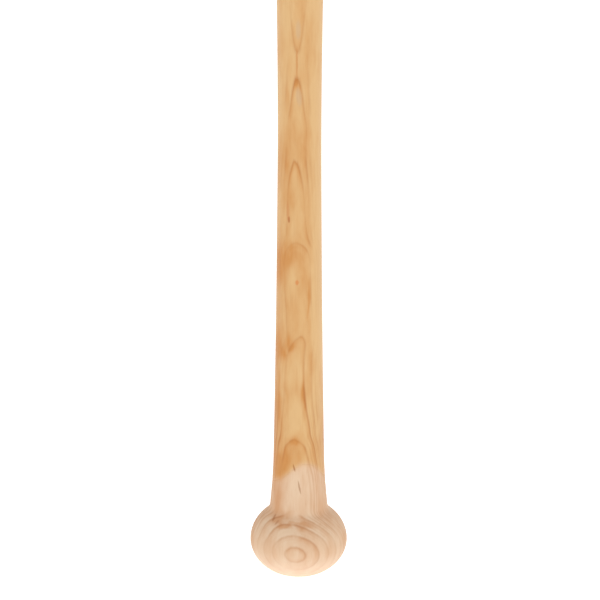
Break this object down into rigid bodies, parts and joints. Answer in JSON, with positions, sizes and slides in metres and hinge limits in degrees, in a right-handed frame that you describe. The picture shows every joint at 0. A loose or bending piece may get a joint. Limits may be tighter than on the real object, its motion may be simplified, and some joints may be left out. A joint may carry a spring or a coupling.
{
  "type": "baseball bat",
  "caption": "Full-size turned wooden baseball bat: round knob, slim flared handle, tapering barrel with a cupped end, under a clear lacquer film that stops above the knob.",
  "frame": {"origin": "centre of the flat on the knob's end", "axes": "+Z along the bat's axis from the knob to the barrel end; -Y is the side on which the lacquer's edge stands highest; +X completes a right-handed frame"},
  "size_m": [0.0636, 0.0636, 0.864],
  "materials": {
    "bare_wood": "pale hardwood, turned and sanded, no finish",
    "lacquered_wood": "clear amber lacquer, glossy, with the wood's grain showing through"
  },
  "bodies": {
    "root": {"turned_billet": "bare_wood", "lacquer_film": "lacquered_wood"}
  },
  "joints": []
}
